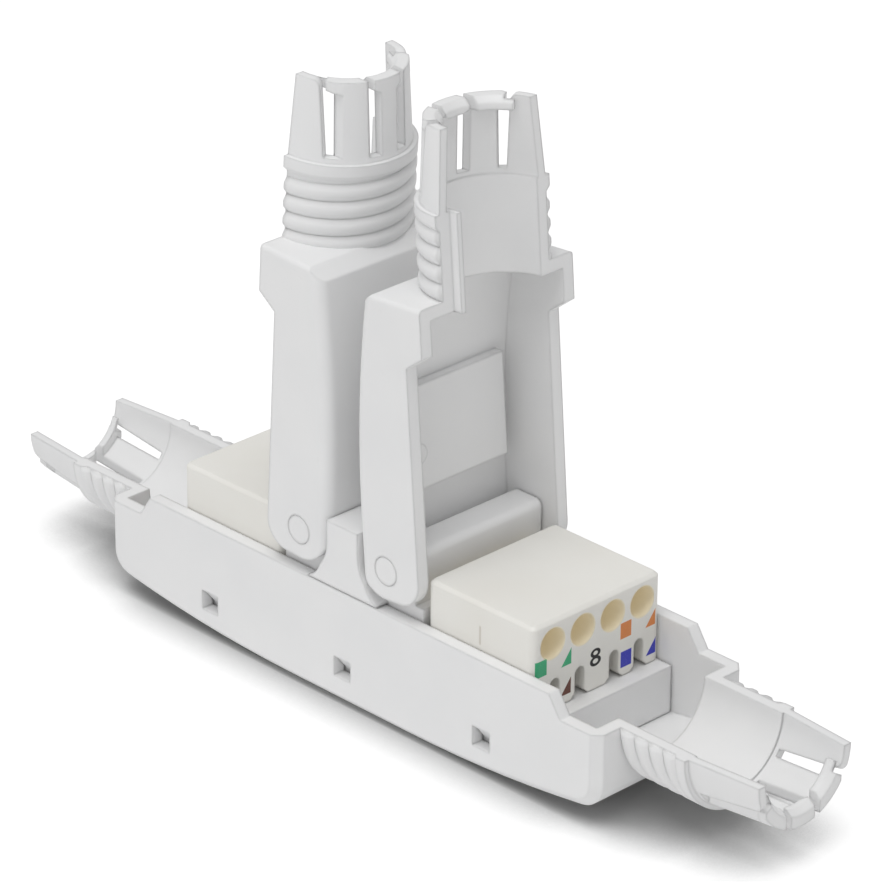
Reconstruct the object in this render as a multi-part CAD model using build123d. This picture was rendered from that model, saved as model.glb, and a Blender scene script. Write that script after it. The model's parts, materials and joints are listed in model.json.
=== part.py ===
from build123d import *
import os
from math import cos, radians, sin

# In-line joiner for an unshielded twisted pair cable, shown open.
# X runs along the cable, Y across the tray and Z up. The origin is on the rest face, under
# the middle of the joiner. All sizes are in millimetres.
# The two ends are the same, turned by half a turn about Z, so each piece of an end is
# modelled once at the +X end. The collar necks are left plain at the root of their thread.

# Shared between the pieces
seam_gap = 0.15
pick_tolerance = 0.01
spare = 1.0

# Tray and closed outline
tip_span = 98.0
body_length = 66.0
body_width = 19.5
wall = 1.35
parting_height = 9.8
rest_length = 16.0
belly_rise = 2.1
end_corner_radius = 3.0
long_edge_chamfer = 0.9
wall_step = 2.1
step_slope_run = 1.4
step_inset = 4.7
edge_break = 0.4

# Collar, thread and clamping fingers
crest_radius = 7.2
thread_depth = 0.45
rim_band = 1.6
neck_length = 8.2
bore_radius = 5.6
finger_root_radius = 6.7
finger_tip_radius = 6.05
finger_thickness = 0.9
finger_overlap = 0.5
slot_inset = 0.5
middle_finger_half = 0.95
side_finger_inner = 2.2
side_finger_root = 4.4
side_finger_tip = 4.1
outer_slot_root_angle = 33.5
outer_slot_tip_angle = 25.7
outer_tip_radius = 0.8
head_length = 1.3
head_chamfer = 0.3
middle_head_half = 1.55
side_head_outer = 4.95
head_gap = 0.45
head_lowest = 1.4
hook_depth = 0.75

# Lids
lid_height = 10.05
lid_flat_end = 10.0
lid_end_height = 7.7
roof_thickness = 1.2
hinge_x = 5.85
hinge_height = 6.5
lid_inner_end = 3.0
roof_inner_end = 4.9
hinge_end_radius = 2.6
crown_end_span = 3.0
crown_end_radius = 3.4
lid_corner_chamfer = 1.2
roof_edge_radius = 1.2
near_open_angle = 94.5
far_open_angle = 93.1
pad_start = 12.0
pad_end = 22.3
pad_width = 14.0
pad_clearance = 0.3
lip_width = 0.55
lip_depth = 0.8
lip_clearance = 0.15

# Contact carrier
carrier_clearance = 0.2
deck_height = -2.4
deck_thickness = 1.2
deck_margin = 1.7
skirt_thickness = 1.2
skirt_foot_gap = 0.1
block_half_length = 9.3
block_height = 3.3
hinge_block_height = 8.5
hinge_block_front = 8.2
barrel_radius = 2.2
centre_rib_height = 8.9
lid_swing_clearance = 0.25
pin_radius = 1.4
pin_clearance = 0.03
window_spacing = 18.4
window_height = -6.0
window_width = 2.2
window_tall = 2.0
hook_clearance = 0.2
hook_overlap = 0.3

# Wire caps
cap_rear = 9.85
cap_front = 23.5
cap_clearance = 0.1
cap_top = 6.75
cap_lift = 0.1
wire_pitch = 3.9
wire_hole_radius = 1.55
wire_hole_height = 4.45
notch_inner = 2.25
notch_outer = 5.5
notch_width = 1.25
notch_top = 0.75
channel_end_wall = 1.6
wire_end_half = 1.0
cap_corner_radius = 0.7
cap_top_chamfer = 0.35
prong_chamfer = 0.5
pocket_top = 0.2

# Contacts and circuit board
contact_thickness = 0.5
contact_width = 2.7
contact_slot = 0.4
slit_share = 0.4
front_row_setback = 3.9
rear_row_setback = 3.75
contact_play = 0.1
blade_side_play = 0.25
tail_width = 0.8
board_thickness = 1.2
board_side_gap = 0.3
tail_stub = 0.8
contacts_per_end = 8

half_body = body_length / 2
half_width = body_width / 2
inner_half_width = half_width - wall
step_start = half_body - step_inset - step_slope_run
step_end = half_body - step_inset
belly_end_height = belly_rise - parting_height
rim_x = half_body + neck_length
tip_x = tip_span / 2
groove_radius = crest_radius - thread_depth
lid_seam_height = wall_step + seam_gap
roof_height = lid_height - roof_thickness
lid_swing_radius = lid_height - hinge_height + lid_swing_clearance
carrier_half_width = inner_half_width - carrier_clearance
carrier_half_length = cap_front + deck_margin
hook_low = window_height - window_tall / 2 + hook_clearance
hook_high = window_height + window_tall / 2 - hook_clearance
cap_half_width = inner_half_width - cap_clearance
cap_low = deck_height + cap_lift
front_row_x = cap_front - front_row_setback
rear_row_x = cap_rear + rear_row_setback
front_notches = [-notch_outer, -notch_inner, notch_inner, notch_outer]
upper_wires = [wire_pitch * (place - 1.5) for place in range(4)]


def at_parting(shape):
    """Lifts a shape drawn about the parting plane to its real height."""
    return Pos(0, 0, parting_height) * shape


def across(profile, half):
    """A side profile, drawn as (x, z), widened to both sides of the middle plane."""
    return extrude(Plane.XZ * profile, half, both=True)


def block(x_range, y_range, z_range):
    """A plain cutting or filling block between three pairs of limits."""
    limits = (x_range, y_range, z_range)
    sizes = [abs(high - low) for low, high in limits]
    middle = [(high + low) / 2 for low, high in limits]
    return Pos(*middle) * Box(*sizes)


def other_end(shape):
    """The same piece at the -X end."""
    return Rot(0, 0, 180) * shape


def turned(points):
    """A ring about the collar's axis from its section, drawn as (x, radius)."""
    return revolve(make_face(Polyline(*points, close=True)), Axis.X)


def crossbar(x, z, radius, half):
    """A round bar across the joiner."""
    return Pos(x, 0, z) * Rot(90, 0, 0) * Cylinder(radius, 2 * half)


def is_upright(edge):
    """True for an edge that runs along Z."""
    run = edge @ 1 - edge @ 0
    return abs(run.X) < pick_tolerance and abs(run.Y) < pick_tolerance


def on_outer_side(edge):
    """True for an edge that lies in one of the two outer side faces."""
    return abs(abs(edge.center().Y) - half_width) < pick_tolerance


def belly_outline(inset):
    """Bottom line of the tray's side outline, moved in by inset."""
    floor = inset - parting_height
    end = half_body - inset
    flat = rest_length / 2
    right = TangentArc((flat, floor), (end, floor + belly_rise), tangent=(1, 0))
    left = TangentArc((-flat, floor), (-end, floor + belly_rise), tangent=(-1, 0))
    return [left, Line((-flat, floor), (flat, floor)), right]


def tray_shell():
    """Outer body with stepped walls, hollowed from above."""
    top = Polyline(
        (half_body, belly_end_height),
        (half_body, 0),
        (step_end, 0),
        (step_start, wall_step),
        (-step_start, wall_step),
        (-step_end, 0),
        (-half_body, 0),
        (-half_body, belly_end_height),
    )
    outer = across(make_face([*belly_outline(0), top]), half_width)
    ends = outer.edges().filter_by(Axis.Y).filter_by(
        lambda edge: edge.center().Z < belly_end_height + edge_break and abs(edge.center().X) > step_end
    )
    outer = fillet(ends, end_corner_radius)
    below = outer.edges().filter_by(
        lambda edge: edge.center().Z < belly_end_height + end_corner_radius
        and on_outer_side(edge)
        and not is_upright(edge)
    )
    outer = chamfer(below, long_edge_chamfer)
    outer &= extrude(RectangleRounded(body_length, body_width, edge_break), body_width, both=True)
    inner_top = Polyline(
        (half_body - wall, belly_end_height + wall),
        (half_body - wall, wall_step + spare),
        (-half_body + wall, wall_step + spare),
        (-half_body + wall, belly_end_height + wall),
    )
    return outer - across(make_face([*belly_outline(wall), inner_top]), inner_half_width)


def outer_finger_zone(moved, corner_radius):
    """Room of the outer finger on +Y, its slot face moved on towards the crown by moved."""
    lean = (outer_slot_root_angle + outer_slot_tip_angle) / 2
    root = finger_root_radius * sin(radians(outer_slot_root_angle - lean)) + moved
    tip = finger_tip_radius * sin(radians(outer_slot_tip_angle - lean)) + moved
    radial = (0, cos(radians(lean)), sin(radians(lean)))
    face = Plane(origin=(0, 0, 0), x_dir=(1, 0, 0), z_dir=radial)
    start = rim_x - finger_overlap
    slot_side = [(start, -root), (rim_x, -root), (tip_x, -tip)]
    outline = make_face(Polyline(*slot_side, (tip_x, half_width), (start, half_width), close=True))
    if corner_radius > 0:
        outline = fillet(outline.vertices().group_by(Axis.X)[-1].sort_by(Axis.Y)[0], corner_radius)
    return extrude(face * outline, half_width)


def prism(points):
    """A plan outline, drawn as (x, y), drawn up from the parting plane."""
    return extrude(make_face(Polyline(*points, close=True)), half_width)


def fingers():
    """Five fingers above the parting plane: two plain outer ones, three with hooked heads."""
    slim = finger_thickness
    start = rim_x - finger_overlap
    crown = turned(
        [
            (start, finger_root_radius - slim),
            (start, finger_root_radius),
            (rim_x, finger_root_radius),
            (tip_x, finger_tip_radius),
            (tip_x, finger_tip_radius - slim),
            (rim_x, finger_root_radius - slim),
        ]
    )
    head_start = tip_x - head_length
    head_full = head_start + head_chamfer
    taper = (finger_root_radius - finger_tip_radius) / (tip_x - rim_x)
    hook_radius = finger_tip_radius - slim - hook_depth
    hooks = turned(
        [
            (head_start, hook_radius),
            (head_start, finger_tip_radius + taper * head_length),
            (tip_x, finger_tip_radius),
            (tip_x, hook_radius + hook_depth * 2 / 3),
            (tip_x - head_length / 2, hook_radius),
        ]
    )
    middle = middle_finger_half
    shafts = block((start, tip_x), (-middle, middle), (0, half_width))
    heads = prism(
        [
            (head_start, -middle),
            (head_full, -middle_head_half),
            (tip_x, -middle_head_half),
            (tip_x, middle_head_half),
            (head_full, middle_head_half),
            (head_start, middle),
        ]
    )
    outer_finger = outer_finger_zone(0, outer_tip_radius)
    beside_head = outer_finger_zone(head_gap, 0)
    beside_head -= Pos(tip_x, 0, 0) * Rot(0, 90, 0) * Cylinder(finger_tip_radius - slim - head_gap, tip_span)
    for side in (-1, 1):
        shafts += prism(
            [
                (start, side * side_finger_inner),
                (start, side * side_finger_root),
                (rim_x, side * side_finger_root),
                (tip_x, side * side_finger_tip),
                (tip_x, side * side_finger_inner),
            ]
        )
        heads += prism(
            [
                (head_start, side * side_finger_inner),
                (head_start, side * side_finger_tip),
                (head_full, side * side_head_outer),
                (tip_x, side * side_head_outer),
                (tip_x, side * side_finger_inner),
            ]
        )
    heads &= block((head_start, tip_x), (-half_width, half_width), (head_lowest, half_width))
    heads -= beside_head
    heads -= mirror(beside_head, about=Plane.XZ)
    shafts += outer_finger
    shafts += mirror(outer_finger, about=Plane.XZ)
    shafts += block((start, rim_x + slot_inset), (-half_width, half_width), (0, half_width))
    return (crown & shafts) + (hooks & heads)


def half_collar(lowest):
    """Upper half of a split collar, its neck plain: the thread is added where it is seen."""
    root_x = half_body - wall
    band_foot = rim_x - rim_band
    neck = turned(
        [
            (root_x, bore_radius),
            (root_x, groove_radius),
            (band_foot, groove_radius),
            (band_foot + thread_depth, crest_radius),
            (rim_x, crest_radius),
            (rim_x, bore_radius),
        ]
    )
    return (neck + fingers()) & block((root_x, tip_x), (-half_width, half_width), (lowest, half_width))


def make_tray():
    tray = tray_shell()
    for place in (-1, 0, 1):
        x = place * window_spacing
        tray -= block(
            (x - window_width / 2, x + window_width / 2),
            (-body_width, body_width),
            (window_height - window_tall / 2, window_height + window_tall / 2),
        )
    tray -= Rot(0, 90, 0) * Cylinder(bore_radius, tip_span)
    collar = mirror(half_collar(0), about=Plane.XY)
    tray += collar
    tray += other_end(collar)
    return at_parting(tray)


def lid_outline():
    """Side outline of the shut lid of the +X end."""
    lower = lid_seam_height + hinge_end_radius
    upper = lid_height - crown_end_span
    flat_start = lid_inner_end + crown_end_span
    hinge_end_x = lid_inner_end + hinge_end_radius
    return make_face(
        [
            Polyline(
                (hinge_end_x, lid_seam_height),
                (step_start, lid_seam_height),
                (step_end, seam_gap),
                (half_body, seam_gap),
                (half_body, lid_end_height),
            ),
            TangentArc((lid_flat_end, lid_height), (half_body, lid_end_height), tangent=(1, 0)),
            Line((lid_flat_end, lid_height), (flat_start, lid_height)),
            RadiusArc((flat_start, lid_height), (lid_inner_end, upper), -crown_end_radius),
            Line((lid_inner_end, upper), (lid_inner_end, lower)),
            RadiusArc((lid_inner_end, lower), (hinge_end_x, lid_seam_height), -hinge_end_radius),
        ]
    )


def lid_hollow():
    """What is taken out under the roof, open towards the middle of the joiner."""
    end = half_body - wall
    end_roof = lid_end_height - roof_thickness
    hollow = make_face(
        [
            Polyline(
                (lid_flat_end, roof_height),
                (0, roof_height),
                (0, -half_width),
                (end, -half_width),
                (end, end_roof),
            ),
            TangentArc((lid_flat_end, roof_height), (end, end_roof), tangent=(1, 0)),
        ]
    )
    inner = inner_half_width
    return across(hollow, inner) + block((0, roof_inner_end), (-inner, inner), (0, lid_height + spare))


def make_lid_closed():
    """The lid of the +X end as it lies when it is shut."""
    outline = lid_outline()
    shell = across(outline, half_width)
    end_corner = shell.edges().filter_by(Axis.Y).group_by(Axis.X)[-1].sort_by(Axis.Z)[-1]
    shell = chamfer(end_corner, lid_corner_chamfer)
    roof_edges = shell.edges().filter_by(
        lambda edge: edge.center().Z > lid_end_height
        and on_outer_side(edge)
        and edge.center().X > lid_inner_end + crown_end_span
    )
    shell = fillet(roof_edges, roof_edge_radius)
    plan = RectangleRounded(body_length, body_width, edge_break)
    shell &= extrude(plan, lid_height)
    shell -= lid_hollow()
    pad_low = cap_top + pad_clearance
    pad = block((pad_start, pad_end), (-pad_width / 2, pad_width / 2), (pad_low, roof_height))
    shell += pad & across(outline, half_width)
    shell -= Rot(0, 90, 0) * Cylinder(bore_radius, tip_span)
    shell += half_collar(seam_gap)
    lip_outer = bore_radius - lip_clearance
    lip_inner = lip_outer - lip_width
    lip_x = (half_body - wall, rim_x)
    shell += block(lip_x, (-bore_radius - wall / 2, -lip_inner), (seam_gap, seam_gap + lip_depth))
    shell += block(lip_x, (-lip_outer, -lip_inner), (-lip_depth, seam_gap + lip_depth))
    return shell - crossbar(hinge_x, hinge_height, pin_radius + pin_clearance, half_width)


def make_lid(open_angle):
    """The +X lid, swung open about its pins."""
    hinge = Axis((hinge_x, 0, hinge_height), (0, 1, 0))
    return at_parting(make_lid_closed().rotate(hinge, -open_angle))


def hinge_end():
    """The hinge block of the +X end with the pin moulded through it."""
    half = carrier_half_width
    rear = hinge_x - barrel_radius
    barrel = crossbar(hinge_x, hinge_height, barrel_radius, half)
    rounded = barrel & block((rear, hinge_block_front), (-half, half), (block_height, hinge_block_height))
    nose = block((hinge_x, hinge_block_front), (-half, half), (block_height, hinge_block_height))
    shank = block((rear, hinge_x), (-half, half), (block_height, hinge_height))
    post = rounded + nose + shank
    front_top = post.edges().filter_by(Axis.Y).group_by(Axis.X)[-1].sort_by(Axis.Z)[-1]
    post = fillet(front_top, barrel_radius / 3)
    return post + crossbar(hinge_x, hinge_height, pin_radius, half_width)


def centre_rib():
    """Full-width rib between the lids, spread at its foot, clear of both lids as they swing."""
    foot = lid_inner_end + hinge_end_radius
    rib = block((-foot, foot), (-half_width, half_width), (lid_seam_height, centre_rib_height))
    lower = lid_seam_height + hinge_end_radius
    for side in (-1, 1):
        rib -= crossbar(side * hinge_x, hinge_height, lid_swing_radius, body_width)
        rib -= crossbar(side * foot, lower, hinge_end_radius + seam_gap, body_width)
        above = (hinge_height, centre_rib_height + spare)
        straight = sorted((side * (hinge_x - lid_swing_radius), side * (foot + spare)))
        rib -= block(straight, (-body_width, body_width), above)
    return rib


def snap_hook():
    """A hook on +Y that snaps into a window of the tray's wall."""
    half = carrier_half_width
    root = half - hook_overlap
    out = half_width - wall / 4
    wedge = [(root, hook_low), (root, hook_high), (out, hook_high), (half, hook_low)]
    profile = Plane.YZ * make_face(Polyline(*wedge, close=True))
    return extrude(profile, window_width / 2 - hook_clearance, both=True)


def make_carrier():
    """One moulding: deck and skirt, hinge blocks with their pins, middle rib and snap hooks."""
    foot = wall + skirt_foot_gap - parting_height + belly_floor_rise(carrier_half_length)
    half = carrier_half_width
    length = carrier_half_length
    inner = half - skirt_thickness
    deck_low = deck_height - deck_thickness
    inner_length = length - skirt_thickness
    inner_block = block_half_length - skirt_thickness
    carrier = block((-length, length), (-half, half), (foot, deck_height))
    carrier += block((-block_half_length, block_half_length), (-half, half), (deck_height, block_height))
    carrier -= block((-inner_length, inner_length), (-inner, inner), (foot, deck_low))
    carrier -= block((-inner_block, inner_block), (-inner, inner), (deck_low, block_height - deck_thickness))
    carrier += centre_rib()
    one_hinge = hinge_end()
    carrier += one_hinge
    carrier += other_end(one_hinge)
    hook = snap_hook()
    for place in (-1, 0, 1):
        carrier += Pos(place * window_spacing, 0, 0) * (hook + other_end(hook))
    for x, y in contact_places():
        carrier -= contact_slot_block(x, y, deck_low, deck_height)
    return at_parting(carrier)


def belly_floor_rise(x):
    """How far the tray's floor has risen at a distance x from the middle."""
    run = half_body - wall - rest_length / 2
    radius = (run**2 + belly_rise**2) / (2 * belly_rise)
    reach = max(0.0, abs(x) - rest_length / 2)
    return radius - (radius**2 - reach**2) ** 0.5


def contact_places():
    """Centres of the sixteen contacts: a front and a rear row of four at each end."""
    one_end = [(front_row_x, y) for y in front_notches] + [(rear_row_x, y) for y in upper_wires]
    return one_end + [(-x, -y) for x, y in one_end]


def contact_slot_block(x, y, low, high):
    """The slot that one contact's foot passes through, with its play."""
    half_x = contact_thickness / 2 + contact_play
    half_y = tail_width / 2 + contact_play
    return block((x - half_x, x + half_x), (y - half_y, y + half_y), (low, high))


def contact_tip(x):
    """Height of a contact's tip above the parting plane: past the wires of its row."""
    if abs(x) > (front_row_x + rear_row_x) / 2:
        return notch_top + contact_width / 4
    return wire_hole_height + wire_hole_radius


def make_contact(x, y):
    """A forked blade that cuts into one wire, with a tail through deck and board."""
    tip = contact_tip(x)
    half = contact_width / 2
    slit = contact_slot / 2
    tail_half = tail_width / 2
    tail_end = deck_height - deck_thickness - board_thickness - tail_stub
    slit_end = deck_height + (tip - deck_height) * slit_share
    right = [
        (slit, slit_end),
        (slit, tip - half / 2),
        (half / 2, tip),
        (half - half / 5, tip),
        (half, tip - half / 3),
        (half, deck_height),
        (tail_half, deck_height),
        (tail_half, tail_end + tail_half),
        (tail_half / 2, tail_end),
    ]
    left = [(-across_y, up) for across_y, up in reversed(right)]
    face = make_face(Polyline(*right, *left, close=True))
    return at_parting(Pos(x, y, 0) * extrude(Plane.YZ * face, contact_thickness / 2, both=True))


def make_board():
    """The board under the deck that joins the contacts of one end to those of the other."""
    half_length = carrier_half_length - skirt_thickness - board_side_gap
    half = carrier_half_width - skirt_thickness - board_side_gap
    top = deck_height - deck_thickness
    board = block((-half_length, half_length), (-half, half), (top - board_thickness, top))
    for x, y in contact_places():
        board -= contact_slot_block(x, y, top - board_thickness, top)
    return at_parting(board)


def make_cap():
    """The wire cap of the +X end: four holes above, four notches below, blade slots inside."""
    half = cap_half_width
    cap = block((cap_rear, cap_front), (-half, half), (cap_low, cap_top))
    cap = fillet(cap.edges().filter_by(Axis.Z), cap_corner_radius)
    cap = chamfer(cap.edges().group_by(Axis.Z)[-1], cap_top_chamfer)
    half_thick = contact_thickness / 2 + contact_play
    half_wide = contact_width / 2 + blade_side_play
    radius = notch_width / 2
    mouth_end = front_row_x + half_thick
    pocket_end = rear_row_x + contact_width
    for y in front_notches:
        crown = Rot(0, 90, 0) * Cylinder(radius, cap_front - mouth_end)
        cap -= Pos((cap_front + mouth_end) / 2, y, notch_top - radius) * crown
        cap -= block((mouth_end, cap_front), (y - radius, y + radius), (cap_low, notch_top - radius))
        cap -= block((pocket_end, mouth_end), (y - radius, y + radius), (cap_low, pocket_top))
    bottom_edges = cap.edges().filter_by(Axis.X).group_by(Axis.Z)[0]
    prong_edges = bottom_edges.filter_by(lambda edge: abs(edge.center().Y) < half - pick_tolerance)
    cap = chamfer(prong_edges, prong_chamfer)
    hole_end = rear_row_x + half_thick
    for y in upper_wires:
        hole = Rot(0, 90, 0) * Cylinder(wire_hole_radius, cap_front - hole_end)
        cap -= Pos((cap_front + hole_end) / 2, y, wire_hole_height) * hole
        cap -= block(
            (cap_rear + channel_end_wall, hole_end),
            (y - wire_end_half, y + wire_end_half),
            (wire_hole_height - wire_end_half, wire_hole_height + wire_end_half),
        )
    for x, y in contact_places()[:contacts_per_end]:
        high = contact_tip(x) + contact_play
        cap -= block((x - half_thick, x + half_thick), (y - half_wide, y + half_wide), (cap_low, high))
    return at_parting(cap)


near_cap = make_cap()
pieces = {
    "tray": make_tray(),
    "contact_carrier": make_carrier(),
    "circuit_board": make_board(),
    "lid_near": make_lid(near_open_angle),
    "lid_far": other_end(make_lid(far_open_angle)),
    "wire_cap_near": near_cap,
    "wire_cap_far": other_end(near_cap),
}
for number, (x, y) in enumerate(contact_places()):
    end_name = "near" if number < contacts_per_end else "far"
    pieces[f"contact_{end_name}_{number % contacts_per_end + 1}"] = make_contact(x, y)

os.makedirs("parts", exist_ok=True)
for name, shape in pieces.items():
    export_step(shape, f"parts/{name}.step")
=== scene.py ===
# %% [markdown]
# A cable joiner is a small plastic boat: a white tray, two white lids that stand open on their
# pins, and two cream caps that press the wires of a data cable into forked blades. This lesson
# loads the solids of the joiner as a fixed frame and gives them their looks: two moulded
# plastics, printed marks, tinned blades, a green board, the thread of the collars and a photo
# studio.

# %% Load the solids
import json
from math import cos, pi, radians, sin

import bpy
from mathutils import Matrix, Vector


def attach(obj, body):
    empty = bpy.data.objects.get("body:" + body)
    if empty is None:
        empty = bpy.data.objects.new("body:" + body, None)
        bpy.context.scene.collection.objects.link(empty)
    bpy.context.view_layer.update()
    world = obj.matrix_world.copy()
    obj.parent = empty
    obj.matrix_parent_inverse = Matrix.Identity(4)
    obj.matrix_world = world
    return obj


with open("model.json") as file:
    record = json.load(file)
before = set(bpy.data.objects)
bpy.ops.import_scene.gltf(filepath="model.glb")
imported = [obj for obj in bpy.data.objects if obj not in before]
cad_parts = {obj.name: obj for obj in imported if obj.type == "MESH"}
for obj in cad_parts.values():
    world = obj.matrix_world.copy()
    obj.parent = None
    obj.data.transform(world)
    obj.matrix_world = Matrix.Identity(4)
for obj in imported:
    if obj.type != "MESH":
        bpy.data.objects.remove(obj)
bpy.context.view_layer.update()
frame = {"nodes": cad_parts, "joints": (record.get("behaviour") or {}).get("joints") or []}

MM = 0.001


# %% [markdown]
# The camera. A long lens far away keeps the walls of the tray nearly parallel, as in a product
# photo. Its place could be tuned by eye, but known points of the joiner, such as hinge pins,
# windows and finger tips, were matched to the photo instead. That gave the place, the three
# angles and the focal length below.

# %% Aim the camera
camera_place = Vector((301.51, -294.21, 229.53)) * MM
camera_yaw = radians(45.411)
camera_pitch = radians(25.975)
camera_roll = radians(0.436)
image_side = 882
focal_pixels = 5046.3
sensor_width = 36
nearest_seen = 10 * MM


def aim_camera():
    """A camera object whose axes come from yaw, pitch and roll."""
    forward = Vector((
        -sin(camera_yaw) * cos(camera_pitch),
        cos(camera_yaw) * cos(camera_pitch),
        -sin(camera_pitch),
    ))
    level_right = Vector((cos(camera_yaw), sin(camera_yaw), 0))
    level_up = level_right.cross(forward)
    right = cos(camera_roll) * level_right + sin(camera_roll) * level_up
    up = -sin(camera_roll) * level_right + cos(camera_roll) * level_up
    turn = Matrix((right, up, -forward)).transposed().to_4x4()
    camera = bpy.data.objects.new("camera", bpy.data.cameras.new("camera"))
    camera.matrix_world = Matrix.Translation(camera_place) @ turn
    camera.data.sensor_width = sensor_width
    camera.data.lens = focal_pixels / image_side * sensor_width
    camera.data.clip_start = nearest_seen
    bpy.context.scene.collection.objects.link(camera)
    return camera


bpy.context.scene.camera = aim_camera()
print("lens in mm:", round(bpy.context.scene.camera.data.lens, 1))

# %% [markdown]
# Materials are trees of nodes. Drawing them by hand takes many clicks, and linking them in code
# takes many lines. One small class makes the code read like maths: it wraps an output socket, and
# an expression such as 1 - mask * 0.3 adds the Math nodes for it. Any other node comes from one
# method that takes its type, its settings and what goes into its sockets.

# %% A class for node sockets


class Sock:
    """An output socket that can be used in Python expressions."""

    def __init__(self, tree, socket):
        self.tree = tree
        self.socket = socket

    def node(self, kind, settings=None, **inputs):
        """Adds a node to the same tree and returns one of its outputs."""
        return add_node(self.tree, kind, settings, **inputs)

    def maths(self, operation, *values):
        sockets = {str(number): value for number, value in enumerate(values)}
        return self.node("ShaderNodeMath", {"operation": operation}, **sockets)

    def __add__(self, other):
        return self.maths("ADD", self, other)

    def __radd__(self, other):
        return self.maths("ADD", other, self)

    def __sub__(self, other):
        return self.maths("SUBTRACT", self, other)

    def __rsub__(self, other):
        return self.maths("SUBTRACT", other, self)

    def __mul__(self, other):
        return self.maths("MULTIPLY", self, other)

    def __rmul__(self, other):
        return self.maths("MULTIPLY", other, self)

    def between(self, low, high):
        """0 below low, 1 above high and a smooth step in between."""
        settings = {"interpolation_type": "SMOOTHSTEP"}
        return self.node("ShaderNodeMapRange", settings, Value=self, From_Min=low, From_Max=high)

    def inside(self, low, high, soft):
        """1 between low and high and 0 outside, with soft ends."""
        return self.between(low - soft, low + soft) * (1 - self.between(high - soft, high + soft))

    def mix(self, low, high):
        """A colour between two colours, with this value as the factor."""
        factor_and_colours = {"0": self, "6": low, "7": high}
        return self.node("ShaderNodeMix", {"data_type": "RGBA"}, **factor_and_colours, out=2)


def add_node(tree, kind, settings=None, out=0, **inputs):
    """Adds a node, sets it up, fills its inputs and returns one output.

    Settings come first, because some change which sockets a node has. An input or output is
    given by its name, or by its number where several share a name.
    """
    node = tree.nodes.new(kind)
    for name, value in (settings or {}).items():
        setattr(node, name, value)
    for name, value in inputs.items():
        socket = node.inputs[int(name)] if name.isdigit() else node.inputs[name.replace("_", " ")]
        if isinstance(value, Sock):
            tree.links.new(value.socket, socket)
        else:
            socket.default_value = value
    return Sock(tree, node.outputs[out])


print("expressions on sockets are ready")

# %% [markdown]
# A few helpers are shared by all the materials. Each material starts from a place on the object,
# in metres, so that its grain has a real size and stays with the piece as it moves. A picture
# wrapped round the piece could do that too, but it would have seams and a fixed sharpness.

# %% Helpers for materials


def grey(level):
    return (level, level, level, 1)


def new_material(name):
    """An empty material, and the place on the object in metres that its nodes start from."""
    material = bpy.data.materials.new(name)
    material.use_nodes = True
    material.node_tree.nodes.clear()
    return material, add_node(material.node_tree, "ShaderNodeTexCoord", out="Object")


def connect_surface(shader, output_kind="ShaderNodeOutputMaterial"):
    output = shader.tree.nodes.new(output_kind)
    shader.tree.links.new(shader.socket, output.inputs["Surface"])


def noise(place, size_mm, detail=2.0, roughness=0.5):
    """Smooth random values from 0 to 1 with patches of about the given size."""
    scale = 1 / (size_mm * MM)
    return place.node("ShaderNodeTexNoise", Vector=place, Scale=scale, Detail=detail, Roughness=roughness)


def bump(height, strength, depth_mm, **normal):
    """A normal that follows small heights, on top of another one where it is given."""
    return height.node("ShaderNodeBump", Height=height, Strength=strength, Distance=depth_mm * MM, **normal)


def dress(names, material):
    """Gives the named solids one material."""
    for name in names:
        frame["nodes"][name].data.materials.clear()
        frame["nodes"][name].data.materials.append(material)


print("helpers for materials are ready")

# %% [markdown]
# Moulded plastic. The white mouldings and the cream caps are both shot from resin. They could
# have a single pale colour each, but real mouldings show more: a fine spark-eroded grain that
# softens the gloss, very faint clouds and specks where the resin flowed, and edges that are never
# quite sharp. The grain and the soft edges go into the normal, the clouds into colour and
# roughness, and the specks into colour. The function also takes marks, which are print or painted
# light and shade, dents and a little painted glow, so that the lids and the caps can share it.

# %% A moulded plastic
cloud_size = 9.0
ripple_size = 1.6
speckle_size = 0.5
speckle_share = 0.35
grain_size = 0.16
grain_depth = 0.02
dent_depth = 0.05


def moulded_plastic(place, colours, gloss, edge_mm, marks=(), dents=None, painted_glow=None):
    """Shades a resin: its own colour and its clouds', its least and greatest roughness.

    Marks tint it, some as print and some as painted light and shade; dents lower it; and painted_glow holds
    the values of the emission sockets.
    """
    clouds = noise(place, cloud_size, 3.0).between(0.3, 0.75)
    grain = noise(place, grain_size, 3.0, 0.6)
    ripple = noise(place, ripple_size)
    speckle = noise(place, speckle_size, 1.0).between(0.68, 0.8)
    speckle_colour = [channel * 0.955 for channel in colours[0][:3]] + [1]
    tint = (speckle * speckle_share).mix(clouds.mix(*colours), speckle_colour)
    for mask, mark_colour in marks:
        tint = mask.mix(tint, mark_colour)
    soft_edges = place.node("ShaderNodeBevel", {"samples": 6}, Radius=edge_mm * MM)
    normal = bump(grain * 0.7 + ripple * 1.6, 0.22, grain_depth, Normal=soft_edges)
    if dents is not None:
        normal = bump(1 - dents, 0.6, dent_depth, Normal=normal)
    shader = place.node(
        "ShaderNodeBsdfPrincipled",
        Base_Color=tint,
        Roughness=gloss[0] + (gloss[1] - gloss[0]) * (clouds * 0.5 + grain * 0.5),
        Normal=normal,
        IOR=1.5,
        Specular_IOR_Level=0.45,
        **(painted_glow or {}),
    )
    connect_surface(shader)


print("a recipe for moulded plastic")
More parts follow.
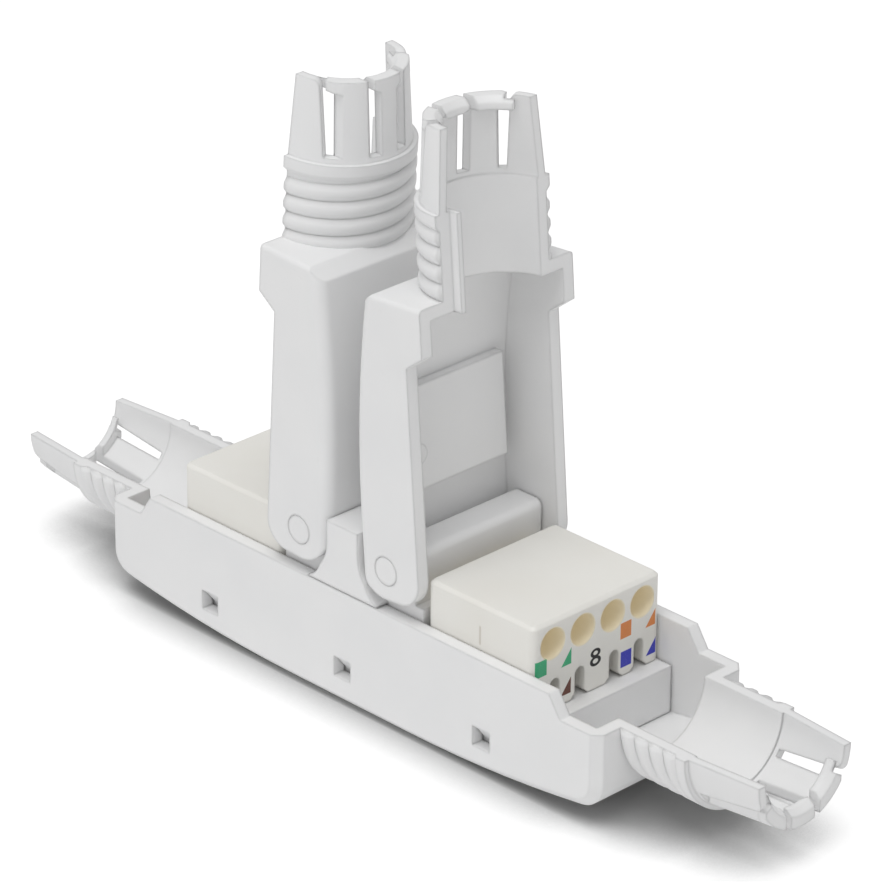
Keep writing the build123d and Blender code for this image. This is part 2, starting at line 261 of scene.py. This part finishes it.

# %% [markdown]
# White plastic for the tray, the lids and the contact carrier. An ejector pin leaves a faint ring
# inside each lid, low on the pad that presses the cap. It could be cut in the solid, but it is
# only a few hundredths of a millimetre deep, so it is a dent in the normal and a slightly darker
# line of painted shade in the groove: a band of distances from the pin's centre. The far lid is
# the near one turned by half a turn, and multiplying by the sign of X covers both.

# %% White plastic
pin_centre = (-4.25, 25.9)
pin_radius = 1.0
pin_half_line = 0.06
pin_soft = 0.05
pin_shade_share = 0.35
pad_reach = (3.4, 5.6)
white = (0.85, 0.85, 0.85, 1)
white_cloud = (0.825, 0.827, 0.83, 1)
# Painted shade for the groove of the pin ring.
pin_groove_shade = (0.6, 0.6, 0.61, 1)


def split_place(place):
    """The three coordinates in mm, turned so that the far end counts like the near one."""
    parts = place.node("ShaderNodeSeparateXYZ", Vector=place)
    x, y, z = (Sock(place.tree, parts.socket.node.outputs[axis]) * (1 / MM) for axis in range(3))
    side = x.maths("SIGN", x)
    return x * side, y * side, z


def length_of(across_mm, up_mm):
    return across_mm.maths("SQRT", across_mm * across_mm + up_mm * up_mm)


def ring_mask(across_mm, up_mm, centre, radius, half_line, soft, squash=1.0):
    """1 on a ring about centre and 0 elsewhere; a squash above 1 makes the ring lower."""
    from_centre = length_of(across_mm - centre[0], (up_mm - centre[1]) * squash)
    return from_centre.inside(radius - half_line, radius + half_line, soft)


white_plastic, white_place = new_material("white_plastic")
out_mm, across_mm, up_mm = split_place(white_place)
# The pin ring is a dent, and its darker line is painted shade in the groove.
pin_ring = ring_mask(across_mm, up_mm, pin_centre, pin_radius, pin_half_line, pin_soft)
pin_ring = pin_ring * out_mm.inside(*pad_reach, pin_soft)
moulded_plastic(
    white_place,
    colours=(white, white_cloud),
    gloss=(0.38, 0.5),
    edge_mm=0.42,
    marks=[(pin_ring * pin_shade_share, pin_groove_shade)],
    dents=pin_ring,
)
white_mouldings = ["tray", "contact_carrier", "lid_near", "lid_far"]
dress(white_mouldings, white_plastic)
print("white plastic on", len(white_mouldings), "mouldings")

# %% [markdown]
# The printed marks. On the front of each cap, pairs of a square and a triangle tell which
# coloured wire goes where, and a plain number stands in the middle. Marks could be thin plates,
# but ink that follows the rounded corner is simpler as a mask: a square is two bands multiplied,
# a triangle adds a slope, and the number is two squashed rings. Printed ink never covers fully,
# so fine noise thins it a little.

# %% Ink shapes
ink_soft = 0.035
square_width = 1.42
triangle_width = 1.3
mark_height = 1.65
upper_row = 11.32
lower_row = 8.32
front_start = 22.8
front_soft = 0.05
ink_grain_size = 0.12
green_ink = (0.04, 0.43, 0.2, 1)
orange_ink = (0.76, 0.26, 0.075, 1)
blue_ink = (0.035, 0.042, 0.5, 1)
brown_ink = (0.14, 0.04, 0.022, 1)
black_ink = (0.006, 0.006, 0.007, 1)
# Each pair has an ink, a row, the square's left side and the triangle's left corner.
pair_marks = [
    (green_ink, upper_row, -7.98, -4.68),
    (orange_ink, upper_row, 3.05, 6.36),
    (blue_ink, lower_row, 3.15, 6.52),
    (brown_ink, lower_row, -7.9, -4.68),
]
# Each ring of the number has a centre, a radius and half the width of its line.
number_rings = [((-0.2, 10.36), 0.53, 0.19), ((-0.2, 11.2), 0.47, 0.18)]
number_squash = 1.4


def square_mark(across_mm, up_mm, left, low):
    sides = across_mm.inside(left, left + square_width, ink_soft)
    return sides * up_mm.inside(low, low + mark_height, ink_soft)


def triangle_mark(across_mm, up_mm, left, low):
    """A right triangle that rises from its left corner to its upright right side."""
    under_slope = (across_mm - left) * (mark_height / triangle_width) - (up_mm - low)
    sides = across_mm.inside(left, left + triangle_width, ink_soft)
    above_foot = up_mm.between(low - ink_soft, low + ink_soft)
    return sides * above_foot * under_slope.between(-ink_soft, ink_soft)


def printed_marks(place, out_mm, across_mm, up_mm):
    """Pairs of a mask and its ink, on the front of a cap only."""
    cover = noise(place, ink_grain_size).between(0.2, 0.42) * 0.12 + 0.88
    front = out_mm.between(front_start - front_soft, front_start + front_soft) * cover
    marks = []
    for ink, row, square_left, triangle_left in pair_marks:
        marks.append((square_mark(across_mm, up_mm, square_left, row) * front, ink))
        marks.append((triangle_mark(across_mm, up_mm, triangle_left, row) * front, ink))
    for centre, radius, half_line in number_rings:
        ring = ring_mask(across_mm, up_mm, centre, radius, half_line, ink_soft, number_squash)
        marks.append((ring * front, black_ink))
    return marks


print("pairs of marks:", len(pair_marks), "rings in the number:", len(number_rings))

# %% [markdown]
# Ivory plastic for the caps, a slightly yellow resin. The holes that guide the wires look tan,
# because light comes back from deep inside. A stronger lamp could show that, but it would bleach
# the front, so the holes get a painted tan and a painted glow in place of that light. The holes
# repeat across the cap, so one mask folds the distance to the nearest hole. A faint slit on the
# cap's side is a dent with a line of painted brown shade.

# %% Ivory plastic
wire_pitch = 3.9
hole_height = 14.25
hole_edge = (1.56, 1.72)
hole_row_half = 7.42
hole_row_soft = 0.03
line_out = (16.58, 16.82)
line_up = (12.4, 14.3)
line_side = (-8.2, -8.1)
line_soft = 0.05
line_end_soft = 0.15
slit_shade_share = 0.3
ivory = (0.85, 0.838, 0.795, 1)
ivory_cloud = (0.83, 0.813, 0.762, 1)
# Painted tan and painted glow stand in for light that comes back from deep inside the holes.
painted_hole_tan = (0.86, 0.79, 0.62, 1)
painted_hole_glow = (1.0, 0.88, 0.64, 1)
glow_level = 0.075
# Painted brown shade for the slit on the cap's side.
slit_shade_brown = (0.30, 0.20, 0.11, 1)

ivory_plastic, ivory_place = new_material("ivory_plastic")
out_mm, across_mm, up_mm = split_place(ivory_place)
to_nearest_hole = across_mm.maths("PINGPONG", across_mm, wire_pitch / 2) - wire_pitch / 2
# The hole mask carries the painted tan and the painted glow.
in_hole = 1 - length_of(to_nearest_hole, up_mm - hole_height).between(*hole_edge)
in_hole = in_hole * across_mm.inside(-hole_row_half, hole_row_half, hole_row_soft)
# The side slit is a dent, and its brown line is painted shade in the slit.
side_slit = out_mm.inside(*line_out, line_soft) * up_mm.inside(*line_up, line_end_soft)
side_slit = side_slit * (1 - across_mm.between(*line_side))
ink_marks = printed_marks(ivory_place, out_mm, across_mm, up_mm)
moulded_plastic(
    ivory_place,
    colours=(ivory, ivory_cloud),
    gloss=(0.34, 0.46),
    edge_mm=0.3,
    marks=[(side_slit * slit_shade_share, slit_shade_brown), (in_hole, painted_hole_tan)] + ink_marks,
    dents=side_slit,
    painted_glow={"Emission_Color": in_hole.mix(grey(0), painted_hole_glow), "Emission_Strength": glow_level},
)
dress(["wire_cap_near", "wire_cap_far"], ivory_plastic)
print("ivory plastic and", len(ink_marks), "ink shapes on each of two caps")

# %% [markdown]
# The blades are stamped from bronze strip and tin plated. A polished metal would look like a
# mirror, so the finish has fine rolling lines along the strip and dull patches in the tin.

# %% Tinned blades
rolling_line_size = 0.12
rolling_stretch = (1, 1, 0.08)
rolling_depth = 0.01
dull_patch_size = 1.2
bright_tin = (0.74, 0.73, 0.70, 1)
dull_tin = (0.62, 0.60, 0.56, 1)


def tinned_bronze():
    material, place = new_material("tinned_bronze")
    stretched = place.node("ShaderNodeMapping", Vector=place, Scale=rolling_stretch)
    lines = noise(stretched, rolling_line_size)
    patches = noise(place, dull_patch_size, 3.0).between(0.35, 0.7)
    shader = place.node(
        "ShaderNodeBsdfPrincipled",
        Base_Color=patches.mix(bright_tin, dull_tin),
        Metallic=1.0,
        Roughness=0.25 + 0.18 * patches + 0.08 * lines,
        Normal=bump(lines, 0.25, rolling_depth),
    )
    connect_surface(shader)
    return material


blades = [name for name in frame["nodes"] if name.startswith(("contact_near", "contact_far"))]
dress(blades, tinned_bronze())
print("tinned blades:", len(blades))

# %% [markdown]
# The circuit board hides under the decks. It is glass laminate under a green mask. A plain green
# could do, but the weave of the glass shows faintly as a grid of fine bumps, and the copper below
# makes patches of lighter green.

# %% Board laminate
weave_scale = 900.0
weave_depth = 0.01
copper_patch_size = 2.5
mask_green = (0.035, 0.20, 0.085, 1)
copper_green = (0.07, 0.33, 0.15, 1)


def glass_threads(place, direction):
    """Soft waves in one direction, like the threads of glass cloth."""
    settings = {"wave_type": "BANDS", "bands_direction": direction}
    waves = {"Scale": weave_scale, "Distortion": 0.4}
    return place.node("ShaderNodeTexWave", settings, Vector=place, **waves, out="Fac")


def board_laminate():
    material, place = new_material("board_laminate")
    warp = glass_threads(place, "X")
    weft = glass_threads(place, "Y")
    copper = noise(place, copper_patch_size, 1.0).between(0.48, 0.52)
    shader = place.node(
        "ShaderNodeBsdfPrincipled",
        Base_Color=(copper * 0.6).mix(mask_green, copper_green),
        Roughness=0.32 + 0.1 * (warp * weft),
        Normal=bump(warp + weft, 0.15, weave_depth),
        IOR=1.5,
    )
    connect_surface(shader)
    return material


dress(["circuit_board"], board_laminate())
print("board laminate on one board")

# %% [markdown]
# The thread of the collars. A nut draws the fingers together, so each half collar carries half
# turns of one helical ridge. It could be rings, but a real thread climbs by its pitch in each
# turn, and the ridges of the two halves must meet when the lid is shut. So one formula gives
# both: the ridge's place along the axis grows with the angle. The section is a rounded wedge
# with its foot sunk in the neck.

# %% Half turns of a ridge
thread_pitch = 1.75
thread_origin = 38.2
collar_axis_up = 9.8
ridge_turns = 4
ridge_steps = 40
# From the foot to the crest: the distances from the ridge's middle and from the collar's axis.
ridge_side = [(0.87, 6.62), (0.87, 6.83), (0.7, 6.9), (0.54, 7.02), (0.38, 7.14), (0.22, 7.19)]
ridge_section = ridge_side + [(-along, radius) for along, radius in ridge_side[::-1]]


def ridge_half(first_angle, last_angle):
    """Closed ridges on the near collar, in mm, between two angles about the collar's axis."""
    vertices, faces = [], []
    corners = len(ridge_section)
    for turn in range(ridge_turns):
        first = len(vertices)
        for step in range(ridge_steps + 1):
            angle = radians(first_angle + (last_angle - first_angle) * step / ridge_steps)
            middle = thread_origin + thread_pitch * angle / (2 * pi) - thread_pitch * turn
            for along, radius in ridge_section:
                up = collar_axis_up + radius * sin(angle)
                vertices.append((middle + along, radius * cos(angle), up))
        for step in range(ridge_steps):
            for corner in range(corners):
                here = first + step * corners + corner
                beside = first + step * corners + (corner + 1) % corners
                faces.append((here, beside, beside + corners, here + corners))
        faces.append(tuple(range(first, first + corners))[::-1])
        faces.append(tuple(range(len(vertices) - corners, len(vertices))))
    return vertices, faces


print("corners of the ridge's section:", len(ridge_section))

# %% [markdown]
# The threads go on the tray and on the lids. Those of the lids could be worked out where the open
# lids stand, but it is easier to build them on a shut lid, where they continue the tray's, and
# then to swing them open about the hinge. The frame gives each hinge's place and the angle
# between open and shut.

# %% Threads on the tray and the lids
tray_angles = (180.5, 359.5)
lid_angles = (1.9, 178.1)
hinges = {joint["child"]: joint for joint in frame["joints"]}


def swing_open(point, hinge):
    """A point of the shut near lid, moved with the lid as it opens."""
    turn = radians(hinge["range_deg"][1])
    hinge_out = abs(hinge["pos_m"][0]) / MM
    hinge_up = hinge["pos_m"][2] / MM
    out = point[0] - hinge_out
    up = point[2] - hinge_up
    opened_out = hinge_out + out * cos(turn) - up * sin(turn)
    opened_up = hinge_up + out * sin(turn) + up * cos(turn)
    return opened_out, point[1], opened_up


def add_thread(name, body, side, vertices, faces):
    """A thread piece that rides on one body; side is 1 at the near end and -1 at the far end."""
    mesh = bpy.data.meshes.new(name)
    mesh.from_pydata([(side * x * MM, side * y * MM, z * MM) for x, y, z in vertices], [], faces)
    mesh.shade_smooth()
    mesh.materials.append(white_plastic)
    piece = bpy.data.objects.new(name, mesh)
    bpy.context.scene.collection.objects.link(piece)
    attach(piece, body)
    return piece


threads = []
for end, side in (("near", 1), ("far", -1)):
    tray_points, tray_faces = ridge_half(*tray_angles)
    threads.append(add_thread(f"thread_tray_{end}", "root", side, tray_points, tray_faces))
    shut_points, lid_faces = ridge_half(*lid_angles)
    open_points = [swing_open(point, hinges[f"lid_{end}"]) for point in shut_points]
    threads.append(add_thread(f"thread_lid_{end}", f"lid_{end}", side, open_points, lid_faces))
print("faces of each thread piece:", {piece.name: len(piece.data.polygons) for piece in threads})

# %% [markdown]
# The floor. The joiner stands on a white sweep with no visible horizon. A white floor lit to
# exactly white would need more light than the plastic can take, so the floor adds a little
# light of its own for the camera only. That light fades where the joiner closes the floor off
# from the sky, so a dark seam of shadow stays close below the tray, as in the photo.

# %% Floor
floor_half = 3.0
floor_gap = 0.02
fibre_size = 0.6
paper_dark = grey(0.93)
paper_light = grey(0.945)
seam_reach = 9
glow_strength = 1.25
glow_share = 0.6


def studio_floor():
    """A wide floor just under the rest face."""
    corners = [(-1, -1), (1, -1), (1, 1), (-1, 1)]
    points = [(floor_half * x, floor_half * y, -floor_gap * MM) for x, y in corners]
    mesh = bpy.data.meshes.new("floor")
    mesh.from_pydata(points, [], [(0, 1, 2, 3)])
    floor = bpy.data.objects.new("floor", mesh)
    bpy.context.scene.collection.objects.link(floor)
    material, place = new_material("floor_paper")
    paper = place.node(
        "ShaderNodeBsdfPrincipled",
        Base_Color=noise(place, fibre_size, 3.0).mix(paper_dark, paper_light),
        Roughness=0.9,
        Specular_IOR_Level=0.1,
    )
    reach = seam_reach * MM
    openness = place.node("ShaderNodeAmbientOcclusion", {"samples": 16}, Distance=reach, out="AO")
    glow_colour = openness.between(0.3, 0.9).mix(grey(0), grey(1))
    glow = place.node("ShaderNodeEmission", Color=glow_colour, Strength=glow_strength)
    share = place.node("ShaderNodeLightPath", out="Is Camera Ray") * glow_share
    connect_surface(place.node("ShaderNodeMixShader", **{"0": share, "1": paper, "2": glow}))
    mesh.materials.append(material)
    return floor


studio_floor()
print("floor width in m:", 2 * floor_half)

# %% [markdown]
# The sky. A plain even sky fills the hollows of the lids and the tray with soft light. The camera
# could see that same dim sky past the floor, but a photo studio has no horizon, so for the camera
# alone it is plain white.

# %% Sky
sky_level = 0.48


def studio_sky():
    """Even light from above, and plain white where the camera looks past the floor."""
    world = bpy.data.worlds.new("sky")
    world.use_nodes = True
    world.node_tree.nodes.clear()
    camera_ray = add_node(world.node_tree, "ShaderNodeLightPath", out="Is Camera Ray")
    strength = sky_level + camera_ray * (1 - sky_level)
    background = camera_ray.node("ShaderNodeBackground", Color=grey(1), Strength=strength)
    connect_surface(background, "ShaderNodeOutputWorld")
    bpy.context.scene.world = world


studio_sky()
print("sky level:", sky_level)

# %% [markdown]
# The lamps. In the photo the long side of the tray is about as bright as the tops, its end is
# darker, and the hollows fade softly. One lamp could not do both, because it would make either
# the tops or the long side glare. So a large soft lamp hangs almost overhead, a weaker one stands
# low on the side of the long wall, and the sky does the rest.

# %% Lamps
lamp_aim = Vector((0, 0, 20)) * MM


def soft_lamp(name, azimuth, elevation, distance, side, power):
    """A square lamp aimed at the middle of the joiner; azimuth 0 is in front, on the -Y side."""
    turn = radians(azimuth)
    rise = radians(elevation)
    place = Vector((sin(turn) * cos(rise), -cos(turn) * cos(rise), sin(rise))) * distance
    lamp = bpy.data.objects.new(name, bpy.data.lights.new(name, "AREA"))
    lamp.data.shape = "SQUARE"
    lamp.data.size = side
    lamp.data.energy = power
    lamp.location = place + lamp_aim
    lamp.rotation_mode = "QUATERNION"
    lamp.rotation_quaternion = (-place).to_track_quat("-Z", "Y")
    bpy.context.scene.collection.objects.link(lamp)
    return lamp


key_lamp = soft_lamp("key_lamp", azimuth=14, elevation=74, distance=1.2, side=0.8, power=6.7)
side_lamp = soft_lamp("side_lamp", azimuth=-2, elevation=25, distance=1.4, side=0.8, power=1.5)
bpy.context.scene.view_settings.view_transform = "Standard"
print("lamp powers in watts:", round(key_lamp.data.energy, 1), round(side_lamp.data.energy, 1))
